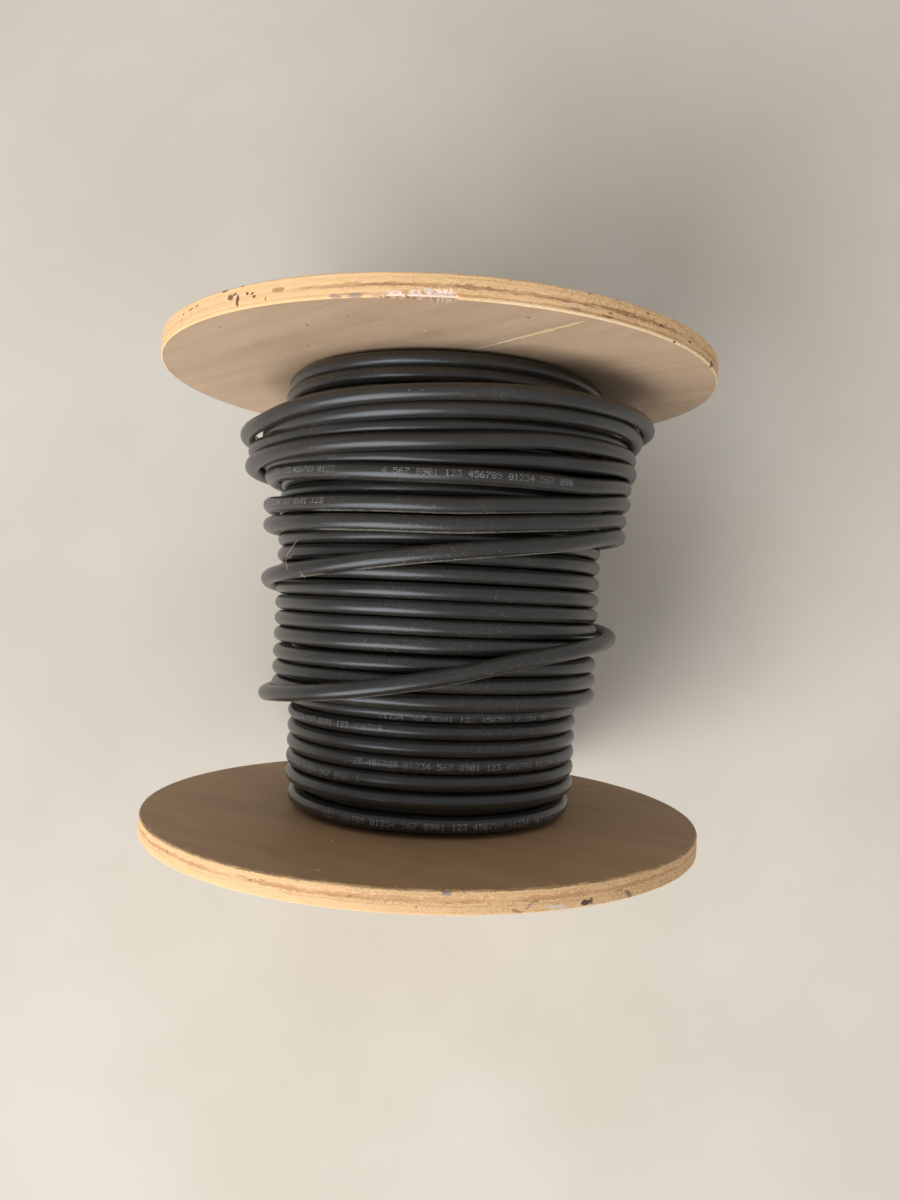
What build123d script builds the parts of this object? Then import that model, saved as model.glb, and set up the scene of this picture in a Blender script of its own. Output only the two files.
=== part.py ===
from build123d import *
import math
import os

# Wooden cable drum: two plywood flanges clamped on a paper core tube by three
# tie bolts, with black coaxial cable wound on the core.
#
# Each piece is drawn standing up, with the axle along Z and the middle of the
# drum at zero. At the end the drum is laid on its side, as it rests on a
# floor: +Y then runs along the axle, +Z is up, and the origin is on the floor
# below the middle of the drum. All sizes are in millimetres.

# Driving dimensions of the flanges
flange_diameter = 254.0
flange_thickness = 8.7
flange_edge_round = 0.6
traverse_width = 198.0
arbor_hole_diameter = 35.0
start_hole_diameter = 11.0
start_hole_gap = 1.0

# Driving dimensions of the core tube
core_diameter = 96.0
core_wall = 6.0
core_seat_depth = 2.5
core_seat_clearance = 0.2

# Driving dimensions of the tie bolts, their washers and their tee nuts
bolt_count = 3
bolt_diameter = 6.35
bolt_circle_diameter = 64.0
bolt_hole_clearance = 0.3
bolt_head_diameter = 14.0
bolt_head_height = 2.8
bolt_end_gap = 0.8
washer_diameter = 18.0
washer_thickness = 1.4
tee_nut_diameter = 19.0
tee_nut_thickness = 1.5
barrel_wall = 1.0
barrel_end_gap = 0.8
recess_clearance = 0.5
recess_spare_depth = 0.3

# Driving dimensions of the cable and of how it lies on the core
cable_diameter = 6.9
winding_pitch = 7.25
winding_clearance = 0.25
winding_end_gap = 4.0
groove_depth = 1.9
layer_rise = 6.4

# The bands of tidy turns. The lower bands start at the lower flange and the
# upper bands end at the upper one, and the middle band fills what is left.
# Each radius is what the outside of the cable reaches in its band.
lower_band_counts = [1, 5]
lower_band_radii = [66.0, 67.5]
middle_band_radius = 75.7
upper_band_counts = [4, 3, 2]
upper_band_radii = [83.5, 87.5, 74.0]

# The two loose turns that lie across the tidy ones, by where each passes the
# front of the drum, above or below its middle
loose_turn_heights = [-34.0, 12.0]
loose_turn_slope_degrees = 9.2
loose_turn_clearance = 0.3

# How far a cutting tool runs past the face that it cuts
cut_overrun = 1.0

# Values worked out from the driving dimensions
flange_radius = flange_diameter / 2
core_radius = core_diameter / 2
core_bore_radius = core_radius - core_wall
arbor_radius = arbor_hole_diameter / 2
bolt_radius = bolt_diameter / 2
bolt_hole_radius = bolt_radius + bolt_hole_clearance
bolt_circle_radius = bolt_circle_diameter / 2
cable_radius = cable_diameter / 2
turn_total = math.floor((traverse_width - 2 * winding_end_gap) / winding_pitch)
winding_length = turn_total * winding_pitch
middle_band_count = turn_total - sum(lower_band_counts) - sum(upper_band_counts)
band_counts = [*lower_band_counts, middle_band_count, *upper_band_counts]
band_radii = [*lower_band_radii, middle_band_radius, *upper_band_radii]
inner_face = traverse_width / 2
outer_face = inner_face + flange_thickness
head_recess_depth = bolt_head_height + washer_thickness + recess_spare_depth
nut_recess_depth = tee_nut_thickness + recess_spare_depth
head_recess_radius = washer_diameter / 2 + recess_clearance
nut_recess_radius = tee_nut_diameter / 2 + recess_clearance
barrel_radius = bolt_radius + barrel_wall
barrel_length = flange_thickness - nut_recess_depth - barrel_end_gap
start_hole_place = core_radius + core_seat_clearance + start_hole_gap + start_hole_diameter / 2

# Lays a standing piece on its side: its axle turns onto +Y and rises to the
# height at which both rims touch the floor.
lying_down = Location((0, 0, flange_radius), (-90, 0, 0))


def bolt_places():
    """The bolt axes, evenly spaced round the arbor hole, the first one below it."""
    return PolarLocations(bolt_circle_radius, bolt_count, start_angle=90).local_locations


def ring_solid(outer_radius, inner_radius, low, high):
    """A plain ring round the axle between two heights."""
    disc = Circle(outer_radius) - Circle(inner_radius)
    return extrude(Pos(0, 0, low) * disc, high - low)


def round_bar(radius, low, high):
    """A plain round bar on the axle between two heights."""
    return extrude(Pos(0, 0, low) * Circle(radius), high - low)


def make_flange(recess_radius, recess_depth, shank_hole_radius):
    """One plywood disc, its inner face at the bottom, its outer face on top."""
    below = -cut_overrun
    above = flange_thickness + cut_overrun
    disc = round_bar(flange_radius, 0, flange_thickness)
    disc = fillet(disc.edges().filter_by(GeomType.CIRCLE), flange_edge_round)
    disc -= round_bar(arbor_radius, below, above)
    groove_outside = core_radius + core_seat_clearance
    groove_inside = core_bore_radius - core_seat_clearance
    disc -= ring_solid(groove_outside, groove_inside, below, core_seat_depth)
    for place in bolt_places():
        disc -= place * round_bar(shank_hole_radius, below, above)
        disc -= place * round_bar(recess_radius, flange_thickness - recess_depth, above)
    disc -= Pos(0, start_hole_place, 0) * round_bar(start_hole_diameter / 2, below, above)
    return disc


def make_core_tube():
    """The paper tube, whose ends stand in the grooves of both flanges."""
    reach = inner_face + core_seat_depth - core_seat_clearance
    return ring_solid(core_radius, core_bore_radius, -reach, reach)


def make_tie_bolt():
    """A long bolt with a low domed head, drawn from its head end at the top."""
    seat = outer_face - head_recess_depth + washer_thickness
    tip = -outer_face + nut_recess_depth - tee_nut_thickness + bolt_end_gap
    shank = round_bar(bolt_radius, tip, seat)
    dome_radius = (bolt_head_diameter**2 / 4 + bolt_head_height**2) / (2 * bolt_head_height)
    dome = Pos(0, 0, seat + bolt_head_height - dome_radius) * Sphere(dome_radius)
    dome &= round_bar(bolt_head_diameter, seat, seat + 2 * bolt_head_height)
    return shank + dome


def make_washer():
    """The flat washer under the bolt head."""
    top = outer_face - head_recess_depth + washer_thickness
    return ring_solid(washer_diameter / 2, bolt_hole_radius, top - washer_thickness, top)


def make_tee_nut():
    """The tee nut: a flat flange in its recess and a barrel through the wood."""
    seat = -outer_face + nut_recess_depth
    plate = ring_solid(tee_nut_diameter / 2, bolt_hole_radius, seat - tee_nut_thickness, seat)
    barrel = ring_solid(barrel_radius, bolt_hole_radius, seat, seat + barrel_length)
    return plate + barrel


def scallops(start, end, count, bulge):
    """Equal arcs along a straight line, each standing out to its right side."""
    step = (end - start) / count
    outwards = step.rotate(Axis.Z, -90).normalized() * bulge
    arcs = []
    for index in range(count):
        first = start + step * index
        last = first + step
        arcs.append(ThreePointArc(first, (first + last) / 2 + outwards, last))
    return arcs


def make_winding():
    """The tidy turns as one turned solid, with its bore round the core tube.

    The half section is drawn with the radius along X and the axle along Y.
    Its bore, both ends and its outside are all scalloped by the turns.
    """
    groove_at_bore = core_radius + winding_clearance + groove_depth
    bottom = -winding_length / 2
    top = winding_length / 2
    edges = scallops(Vector(groove_at_bore, top), Vector(groove_at_bore, bottom), turn_total, groove_depth)
    here = Vector(groove_at_bore, bottom)
    for count, crest_radius in zip(band_counts, band_radii):
        groove_radius = crest_radius - groove_depth
        if here.Y == bottom:
            layers = round((groove_radius - here.X) / layer_rise)
            edges += scallops(here, Vector(groove_radius, bottom), layers, groove_depth)
        else:
            edges.append(Line(here, Vector(groove_radius, here.Y)))
        here = Vector(groove_radius, here.Y)
        band_end = here + Vector(0, count * winding_pitch)
        edges += scallops(here, band_end, count, groove_depth)
        here = band_end
    layers = round((here.X - groove_at_bore) / layer_rise)
    edges += scallops(here, Vector(groove_at_bore, top), layers, groove_depth)
    return revolve(Plane.XZ * make_face(edges), Axis.Z, 360)


def crest_below(height, reach):
    """The widest crest among the tidy turns that lie within reach of a height."""
    crests = []
    band_start = -winding_length / 2
    for count, crest_radius in zip(band_counts, band_radii):
        band_end = band_start + count * winding_pitch
        if band_start < height + reach and band_end > height - reach:
            crests.append(crest_radius)
        band_start = band_end
    return max(crests)


def make_loose_turns():
    """The loose turns, each a ring of cable that slopes across the tidy ones."""
    rings = []
    tilt = math.radians(loose_turn_slope_degrees)
    reach = middle_band_radius * math.sin(tilt) + cable_radius
    for height in loose_turn_heights:
        seat_radius = crest_below(height, reach) + loose_turn_clearance
        ring = Torus((seat_radius + cable_radius) / math.cos(tilt), cable_radius)
        rings.append(Pos(0, 0, height) * Rot(0, -loose_turn_slope_degrees, 0) * ring)
    return Compound(children=rings)


nodes = {}
upper_flange = make_flange(head_recess_radius, head_recess_depth, bolt_hole_radius)
lower_flange = make_flange(nut_recess_radius, nut_recess_depth, barrel_radius + bolt_hole_clearance)
nodes["flange_upper"] = Pos(0, 0, inner_face) * upper_flange
nodes["flange_lower"] = Rot(0, 180, 0) * Pos(0, 0, inner_face) * lower_flange
nodes["core_tube"] = make_core_tube()
nodes["cable_winding"] = make_winding()
nodes["cable_loose_turns"] = make_loose_turns()
for number, place in enumerate(bolt_places(), start=1):
    nodes[f"tie_bolt_{number}"] = place * make_tie_bolt()
    nodes[f"washer_{number}"] = place * make_washer()
    nodes[f"tee_nut_{number}"] = place * make_tee_nut()

os.makedirs("parts", exist_ok=True)
for name, shape in nodes.items():
    export_step(lying_down * shape, f"parts/{name}.step")
    print(name, "written")
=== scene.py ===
# %% [markdown]
# A wooden cable drum, dressed for the camera.
# The drum lies on its rims. Two plywood discs hold a paper tube between them,
# and black coaxial cable is wound on the tube: four tidy layers, then a loose
# one that wanders back over them. The solids come from the CAD model, which
# fixes every size. This lesson gives them wood, jacket, paper and zinc.

# %% Load the frame
import math

import bmesh
import bpy
import numpy as np
from mathutils import Matrix, Vector, noise


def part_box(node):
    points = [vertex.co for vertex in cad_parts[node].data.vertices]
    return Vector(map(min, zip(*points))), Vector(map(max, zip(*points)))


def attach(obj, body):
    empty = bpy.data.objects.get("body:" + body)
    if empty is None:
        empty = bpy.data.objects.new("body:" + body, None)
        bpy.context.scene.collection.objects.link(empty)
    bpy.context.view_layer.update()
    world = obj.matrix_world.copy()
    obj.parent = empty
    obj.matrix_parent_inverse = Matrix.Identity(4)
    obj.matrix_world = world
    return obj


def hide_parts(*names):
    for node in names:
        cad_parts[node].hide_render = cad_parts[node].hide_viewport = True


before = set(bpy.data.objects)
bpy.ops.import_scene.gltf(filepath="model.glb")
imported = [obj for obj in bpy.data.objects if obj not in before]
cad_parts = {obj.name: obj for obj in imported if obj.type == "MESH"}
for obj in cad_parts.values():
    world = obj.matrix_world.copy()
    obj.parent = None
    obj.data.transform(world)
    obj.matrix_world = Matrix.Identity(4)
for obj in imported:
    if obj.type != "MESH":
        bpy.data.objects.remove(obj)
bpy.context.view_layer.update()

# %% [markdown]
# Sizes are read off the frame wherever the frame knows them, so the looks
# follow the CAD model if it changes. Millimetres suit a cable drum, so a
# length is written as a number of MM.

# %% Sizes from the frame
MM = 0.001
BODY = "root"
face_low, face_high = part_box("flange_upper")
rim_radius = (face_high.x - face_low.x) / 2
axle_height = (face_high.z + face_low.z) / 2
inner_face = face_low.y
outer_face = face_high.y
thickness = outer_face - inner_face
tube_low, tube_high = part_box("core_tube")
tube_radius = (tube_high.x - tube_low.x) / 2
axle = Vector((0, 0, axle_height))
print("rim radius", rim_radius, "faces", inner_face, outer_face, "tube", tube_radius)


# %% [markdown]
# The photograph looks almost straight down at the drum. The camera below was
# fitted to the four rims, so the ellipses of the discs come out as they are
# there. Its lens is stated for a sensor whose long side is 36 mm.

# %% The camera
def new_object(name, data):
    """Puts an object with this data into the scene."""
    made_object = bpy.data.objects.new(name, data)
    bpy.context.scene.collection.objects.link(made_object)
    return made_object


camera = new_object("photo_camera", bpy.data.cameras.new("photo_camera"))
camera.data.sensor_width = 36.0
camera.data.lens = 26.79
camera.location = (9.5 * MM, -3.7 * MM, 552.8 * MM)
camera.rotation_euler = (0.0059, 0.0, 0.0468)
bpy.context.scene.camera = camera
print("camera", tuple(camera.location))


# %% [markdown]
# Shader trees and Geometry Nodes trees are both built from nodes and links.
# One helper adds a node, sets its options, and for each input either links a
# socket or sets a value. A second one wraps a node's output, so that plain
# arithmetic on it adds the Math nodes, which keeps long recipes readable.

# %% Helpers that add nodes
def plug(node, values):
    """Gives a node's inputs their values, which are plain or fields to link from."""
    for key, value in values.items():
        if isinstance(value, Field):
            value.tree.links.new(value.socket, node.inputs[key])
        else:
            node.inputs[key].default_value = value


def add(tree, kind, inputs, **settings):
    """Adds one node with these settings and inputs."""
    node = tree.nodes.new(kind)
    for key, value in settings.items():
        setattr(node, key, value)
    plug(node, inputs)
    return node


def made(kind, inputs, output=0, tree=None, **settings):
    """Adds a node to the tree that its inputs come from, and gives back one output."""
    if tree is None:
        tree = next(value.tree for value in inputs.values() if isinstance(value, Field))
    return Field(tree, add(tree, kind, inputs, **settings).outputs[output])


class Field:
    """One output of a node, to calculate with."""

    def __init__(self, tree, socket):
        self.tree = tree
        self.socket = socket

    def maths(self, operation, *others, **settings):
        return made("ShaderNodeMath", dict(enumerate((self, *others))), operation=operation, **settings)

    def __add__(self, other):
        return self.maths("ADD", other)

    def __sub__(self, other):
        return self.maths("SUBTRACT", other)

    def __rsub__(self, other):
        return made("ShaderNodeMath", {0: other, 1: self}, operation="SUBTRACT")

    def __mul__(self, other):
        return self.maths("MULTIPLY", other)

    def __truediv__(self, other):
        return self.maths("DIVIDE", other)

    def __pow__(self, power):
        return self.maths("POWER", power)

    def __abs__(self):
        return self.maths("ABSOLUTE")

    def step(self, low, high):
        """Rises smoothly from 0 at low to 1 at high."""
        return made("ShaderNodeMapRange", {0: self, 1: low, 2: high}, interpolation_type="SMOOTHSTEP")

    def parts(self):
        """The three parts of a vector."""
        node = add(self.tree, "ShaderNodeSeparateXYZ", {0: self})
        return [Field(self.tree, socket) for socket in node.outputs]

    def scaled(self, factors):
        """The same vector with each part scaled."""
        return made("ShaderNodeVectorMath", {0: self, 1: factors}, operation="MULTIPLY")

    def length(self):
        return made("ShaderNodeVectorMath", {0: self}, "Value", operation="LENGTH")

    def speckle(self, scale, detail=2.0, roughness=0.5):
        """A noise value round one half. A scale of three numbers stretches it."""
        if isinstance(scale, tuple):
            return self.scaled(scale).speckle(1.0, detail, roughness)
        inputs = {"Vector": self, "Scale": scale, "Detail": detail, "Roughness": roughness}
        return made("ShaderNodeTexNoise", inputs)

    def cells(self, scale):
        """Scattered points, as the distance to the nearest one and a fixed chance of its own."""
        node = add(self.tree, "ShaderNodeTexVoronoi", {"Vector": self, "Scale": scale})
        chance = made("ShaderNodeSeparateColor", {0: Field(self.tree, node.outputs["Color"])})
        return Field(self.tree, node.outputs["Distance"]), chance


def combined(x, y, z):
    """Three numbers as one vector."""
    return made("ShaderNodeCombineXYZ", {0: x, 1: y, 2: z})


# %% Helpers for materials
def colour(red, green, blue):
    """A colour written as 0 to 255 screen values, as a linear colour with alpha."""
    linear = [((c / 255 + 0.055) / 1.055) ** 2.4 if c > 10 else c / 255 / 12.92 for c in (red, green, blue)]
    return (*linear, 1.0)


def between(factor, first, second, blend="MIX"):
    """Mixes two colours."""
    return made("ShaderNodeMix", {0: factor, 6: first, 7: second}, 2, data_type="RGBA", blend_type=blend)


def new_material(name):
    """A material with a Principled shader, as (material, tree, shader)."""
    material = bpy.data.materials.new(name)
    material.use_nodes = True
    tree = material.node_tree
    return material, tree, tree.nodes["Principled BSDF"]


def object_place(tree):
    """Object coordinates, which are the frame's own."""
    return made("ShaderNodeTexCoord", {}, "Object", tree)


def axle_place(tree, turned_degrees=0.0):
    """Object coordinates about the axle, turned so that X runs along the grain."""
    centred = made("ShaderNodeMapping", {"Vector": object_place(tree), "Location": (0, 0, -axle_height)})
    return made("ShaderNodeMapping", {"Vector": centred, "Rotation": (0, math.radians(turned_degrees), 0)})


def attribute(tree, name, output):
    """What a mesh carries under a name."""
    return made("ShaderNodeAttribute", {}, output, tree, attribute_name=name)


def bump(height, distance, strength=1.0):
    """Turns a height, in units of distance, into a normal."""
    return made("ShaderNodeBump", {"Height": height, "Distance": distance, "Strength": strength})


# %% [markdown]
# Cable jacket is black PVC, drawn over a braid. It is satin rather than
# glossy, a little dusty, and rubbed along its length. On the turns that cross
# the others, lint has settled along the edge that faces the lower disc. The
# cable carries its own coordinates as an attribute, the distance along it and
# the place on its section, so rubs follow the cable and no seam shows where
# the section closes.

# %% The jacket material
def make_jacket():
    """Black satin PVC with dust, rubs along the cable and tiny pale specks."""
    material, tree, shader = new_material("black_jacket")
    place = object_place(tree)
    rubs = attribute(tree, "cable_run", "Vector").speckle((45, 900, 900), 3.0)
    clouds = place.speckle(28.0, 3.0)
    grain = place.speckle(2600.0)
    lint = place.speckle(950.0, 4.0, 0.62)
    dust = lint.step(0.54, 0.7) * clouds.step(0.44, 0.6)
    # Lint lies only on turns far from the axle and below the thick of the pack.
    from_axle = axle_place(tree).scaled((1, 0, 1)).length()
    ledge = attribute(tree, "lower_side", "Fac").step(0.8, 0.95) * lint.step(0.32, 0.56)
    ledge *= clouds.step(0.36, 0.5)
    ledge *= from_axle.step(76 * MM, 79 * MM)
    ledge *= place.parts()[1].step(46 * MM, 36 * MM)
    distance, chance = place.cells(210.0)
    specks = distance.maths("LESS_THAN", 0.042) * chance.maths("GREATER_THAN", 0.7)
    base = between(clouds.step(0.3, 0.7), colour(42, 39, 35), colour(50, 47, 43))
    base = between(rubs.step(0.5, 0.74) * 0.35, base, colour(66, 66, 66))
    base = between(dust * 0.4, base, colour(128, 120, 108))
    base = between(ledge * 0.62, base, colour(168, 164, 154))
    base = between(specks * 0.8, base, colour(190, 180, 165))
    plug(shader, {
        "Base Color": base,
        "Roughness": rubs * 0.14 + 0.23 + dust.maths("MAXIMUM", ledge) * 0.25,
        "Specular IOR Level": 0.67,
        # The bluish specular tint is painted reflection colour: it stands in for a blue sky seen in the satin
        # highlights.
        "Specular Tint": colour(234, 243, 255),
        "Normal": bump(grain * 0.7 + rubs, 0.06 * MM, 0.7),
    })
    return material


jacket = make_jacket()
print("made", jacket.name)

# %% [markdown]
# The cable is one length, wound without a break. Layer one climbs from the
# lower flange, layer two comes back, layer three climbs again, and layer four
# comes down from the upper flange and stops short of the lower one. From
# there the last turns lie loose and slope across the tidy ones on their way
# back up. Angles are counted round the axle, 0 at the top, which is the side
# that faces the camera, and they always grow in the direction of winding.
# Each turn lies level at the front and steps to the next one underneath, as a
# hand-guided winding does. A line that never overshoots joins the knots.

# %% Where each layer lies
CABLE_RADIUS = 3.45
LAYER_TURNS = 27
END_TURN = 94.8
PACK_LEAN = 3.3
LEVEL_REACH = 100


# A knot is an angle within its turn, a height along the axle and a radius to
# the middle of the cable, in degrees and millimetres.
def level_turns(heights, radius, first_radii=()):
    """Knots of a tidy layer, whose turns are level over the front."""
    knots = []
    for turn, height in enumerate(heights):
        turn_radius = first_radii[turn] if turn < len(first_radii) else radius
        knots.append([(angle, height, turn_radius) for angle in (-LEVEL_REACH, 0, LEVEL_REACH)])
    return knots


climbing = list(np.linspace(-END_TURN, END_TURN, LAYER_TURNS))
third_start = [-93.2, -83.6, -76.0, -69.0, -62.1, -55.0]
third_rest = [-48.0 + 7.3 * turn for turn in range(20)]
fourth_wide = [93.9, 87.7, 80.4, 70.8, 60.6, 49.2]
fourth_close = [42.2, 35.6, 29.6, 23.2, 16.2, 8.9, 1.4, -5.6, -12.8, -20.0, -28.0, -35.2, -42.4]

# The loose turns, from the one that starts at the last tidy turn, upwards.
# Their radius is taken with the pack's lean to one side already in it.
loose_turns = [
    [(-85, -47.5, 74.2), (-56, -44.8, 76.5), (-26, -40.0, 79.0),
     (0, -33.6, 79.3), (36, -22.8, 81.0), (85, -15.1, 84.3)],
    [(-85, 4.0, 75.8), (-43, 8.2, 78.0), (0, 15.8, 79.3), (40, 23.2, 82.0), (80, 30.9, 86.6)],
    [(-85, 29.5, 75.9), (-45, 27.9, 78.0), (0, 27.4, 79.2), (41, 32.0, 82.6), (80, 38.3, 86.6)],
    [(-85, 38.5, 76.3), (-46, 35.6, 78.0), (0, 35.0, 79.2), (41, 39.4, 83.0), (80, 46.0, 88.2)],
    [(-85, 51.5, 76.0), (-47, 49.1, 78.5), (0, 46.8, 80.8), (41, 47.5, 84.4), (80, 53.0, 88.3)],
    [(-85, 57.5, 77.4), (-45, 54.5, 76.8), (0, 53.5, 77.6), (41, 56.1, 83.0), (80, 59.8, 90.3)],
    [(-85, 55.6, 85.6), (-44, 57.6, 82.8), (0, 59.4, 82.0), (41, 64.2, 85.6), (80, 66.0, 89.8)],
    [(-85, 62.7, 84.6), (-46, 63.9, 79.4), (0, 65.9, 77.9),
     (41, 68.8, 81.2), (64, 70.6, 84.6), (80, 71.4, 86.2)],
    [(-85, 70.5, 78.1), (-48, 69.3, 80.0), (0, 71.8, 81.8),
     (41, 74.6, 86.6), (64, 75.6, 90.4), (80, 74.8, 92.4)],
    [(-85, 69.8, 88.4), (-61, 70.4, 86.9), (-43, 73.6, 85.0), (0, 77.9, 84.0), (39, 80.6, 89.2),
     (64, 81.2, 94.2), (83, 80.2, 97.8), (130, 84.5, 95.0), (180, 88.0, 88.5), (225, 89.5, 80.5)],
]


def lean(angle):
    """How far the pack stands out at an angle, because it leans to +X."""
    return PACK_LEAN * np.sin(np.radians(angle))


layers = {
    "cable_layer_1": level_turns(climbing, 51.9),
    "cable_layer_2": level_turns(climbing[::-1], 58.0),
    "cable_layer_3": level_turns(third_start + third_rest, 64.05, [62.6]),
    "cable_layer_4": level_turns(fourth_wide + fourth_close, 72.25, [70.4, 71.4]),
    "cable_loose_layer": [[(a, h, r - lean(a)) for a, h, r in turn] for turn in loose_turns],
}
print("turns", {name: len(turns) for name, turns in layers.items()})


# %% A line through the knots that never overshoots
def smooth_line(places, values, wanted):
    """A cubic through the values, flat wherever they turn back."""
    gaps = np.diff(places)
    slopes = np.diff(values, axis=0) / gaps[:, None]
    tangents = np.zeros_like(values)
    tangents[0] = slopes[0]
    tangents[-1] = slopes[-1]
    before = (2 * gaps[1:] + gaps[:-1])[:, None]
    after = (gaps[1:] + 2 * gaps[:-1])[:, None]
    same_way = slopes[:-1] * slopes[1:] > 0
    safe_before = np.where(same_way, slopes[:-1], 1.0)
    safe_after = np.where(same_way, slopes[1:], 1.0)
    mean = (before + after) / (before / safe_before + after / safe_after)
    tangents[1:-1] = np.where(same_way, mean, 0.0)
    index = np.clip(np.searchsorted(places, wanted) - 1, 0, len(places) - 2)
    gap = gaps[index][:, None]
    t = ((wanted - places[index]) / gaps[index])[:, None]
    line = values[index] * (1 + 2 * t) * (1 - t) ** 2
    line += tangents[index] * gap * t * (1 - t) ** 2
    line += values[index + 1] * t * t * (3 - 2 * t)
    line += tangents[index + 1] * gap * t * t * (t - 1)
    return line


def outwards(turned):
    """Directions straight out from the axle, for angles in radians."""
    return np.stack([np.sin(turned), np.zeros(len(turned)), np.cos(turned)], axis=-1)


def along_unit(vectors):
    """The same directions with length one."""
    return vectors / np.linalg.norm(vectors, axis=1)[:, None]


def round_axle(degrees, heights, radii):
    """Places round the axle in metres, from degrees and millimetres."""
    places = outwards(np.radians(degrees)) * radii[:, None]
    places[:, 1] = heights
    return places * MM + np.array(axle)


# The knots of all layers make one line. Each layer is then cut from it at the
# underside of the drum, where the cable steps from one layer to the next.
every_knot = []
layer_span = {}
turn_count = 0
for layer, turns in layers.items():
    first_turn = turn_count
    for turn in turns:
        every_knot += [(360 * turn_count + angle, height, radius) for angle, height, radius in turn]
        turn_count += 1
    layer_span[layer] = (360 * first_turn - 180, 360 * turn_count - 180)
every_knot = np.array(every_knot)
line_start = every_knot[0, 0]
line_end = every_knot[-1, 0]


def cable_point(angles):
    """Places on the cable's centre line, in metres, for angles counted from the first turn."""
    wanted = smooth_line(every_knot[:, 0], every_knot[:, 1:], angles)
    return round_axle(angles, wanted[:, 0], wanted[:, 1] + lean(angles))


whole = cable_point(np.arange(line_start, line_end, 3.0))
cable_length = np.linalg.norm(np.diff(whole, axis=0), axis=1).sum()
print("cable length", round(float(cable_length), 2), "m in", turn_count, "turns")


# %% [markdown]
# Geometry Nodes sweep the jacket along each layer. The tree takes a chain of
# edges, makes it a curve, and runs a circle along it. Before the sweep it
# keeps the length along the curve and the place on the circle, and after it
# stores both as the attribute that the jacket material reads. A second
# attribute says how far the jacket faces the lower disc, because lint settles
# along that edge. Named inputs set the diameter, the sides and the material.

# %% Helpers for Geometry Nodes trees
def new_tree(name, inputs):
    """An empty Geometry Nodes tree with these named inputs, as (tree, its inputs by name)."""
    tree = bpy.data.node_groups.new(name, "GeometryNodeTree")
    tree.interface.new_socket("Geometry", in_out="INPUT", socket_type="NodeSocketGeometry")
    for label, kind in inputs.items():
        tree.interface.new_socket(label, in_out="INPUT", socket_type="NodeSocket" + kind)
    tree.interface.new_socket("Geometry", in_out="OUTPUT", socket_type="NodeSocketGeometry")
    given = tree.nodes.new("NodeGroupInput")
    return tree, {socket.name: Field(tree, socket) for socket in given.outputs}


def end_tree(geometry, material):
    """Ends a tree in Realize Instances and Set Material."""
    real = made("GeometryNodeRealizeInstances", {0: geometry})
    painted = made("GeometryNodeSetMaterial", {"Geometry": real, "Material": material})
    plug(geometry.tree.nodes.new("NodeGroupOutput"), {0: painted})


def set_on_points(points, instance, **more):
    """Puts an instance on every point."""
    return made("GeometryNodeInstanceOnPoints", {"Points": points, "Instance": instance, **more})


def swap_mesh(piece, mesh):
    """Gives a piece another mesh and returns the one it had."""
    start = piece.data
    piece.data = mesh
    return start


def keep_result(piece, modifier):
    """Swaps a piece's mesh for what its modifier makes of it, as a plain mesh."""
    piece.update_tag()
    depsgraph = bpy.context.evaluated_depsgraph_get()
    mesh = bpy.data.meshes.new_from_object(piece.evaluated_get(depsgraph), depsgraph=depsgraph)
    piece.modifiers.remove(modifier)
    bpy.data.meshes.remove(swap_mesh(piece, mesh))
    mesh.name = piece.name


def baked(piece, tree, values):
    """Runs a tree on a piece with these inputs, once, and keeps the plain mesh."""
    modifier = piece.modifiers.new(tree.name, "NODES")
    modifier.node_group = tree
    for item in tree.interface.items_tree:
        if item.in_out == "INPUT" and item.name in values:
            modifier[item.identifier] = values[item.name]
    keep_result(piece, modifier)
    return piece


# %% A tree that sweeps a cable
def captured(geometry, kind, label, value):
    """Keeps a value on geometry before it changes, as (geometry, the kept value)."""
    node = add(geometry.tree, "GeometryNodeCaptureAttribute", {0: geometry})
    node.capture_items.new(kind, label)
    plug(node, {label: value})
    return Field(geometry.tree, node.outputs[0]), Field(geometry.tree, node.outputs[label])


def stored(geometry, kind, name, value):
    """Keeps a value on the points of the result, for materials to read by its name."""
    kept = {"Geometry": geometry, "Name": name, "Value": value}
    return made("GeometryNodeStoreNamedAttribute", kept, data_type=kind, domain="POINT")


def sweep_tree():
    """A tube along a chain of edges, with its own coordinates and closed ends."""
    tree, given = new_tree("sweep_cable", {"Diameter": "Float", "Sides": "Int", "Finish": "Material"})
    along = made("GeometryNodeSplineParameter", {}, "Length", tree)
    path = made("GeometryNodeMeshToCurve", {0: given["Geometry"]})
    path, along = captured(path, "FLOAT", "Length", along)
    circle = {"Resolution": given["Sides"], "Radius": given["Diameter"] / 2.0}
    section = made("GeometryNodeCurvePrimitiveCircle", circle)
    place = made("GeometryNodeInputPosition", {}, tree=tree)
    section, place = captured(section, "VECTOR", "Place", place)
    tube = made("GeometryNodeCurveToMesh", {"Curve": path, "Profile Curve": section, "Fill Caps": True})
    tube = stored(tube, "FLOAT_VECTOR", "cable_run", combined(along, *place.parts()[:2]))
    facing = made("GeometryNodeInputNormal", {}, tree=tree).parts()[1]
    tube = stored(tube, "FLOAT", "lower_side", facing * -1.0)
    end_tree(made("GeometryNodeSetShadeSmooth", {"Geometry": tube}), given["Finish"])
    return tree


cable_sweep = sweep_tree()


def swept(name, points, diameter, sides, material):
    """A tube along a row of points, as a plain mesh object that rides on the drum."""
    mesh = bpy.data.meshes.new(name)
    mesh.from_pydata([tuple(p) for p in points], [(i, i + 1) for i in range(len(points) - 1)], [])
    values = {"Diameter": diameter * MM, "Sides": sides, "Finish": material}
    piece = baked(new_object(name, mesh), cable_sweep, values)
    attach(piece, BODY)
    return piece


print("tree", cable_sweep.name, "with", len(cable_sweep.nodes), "nodes")

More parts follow.
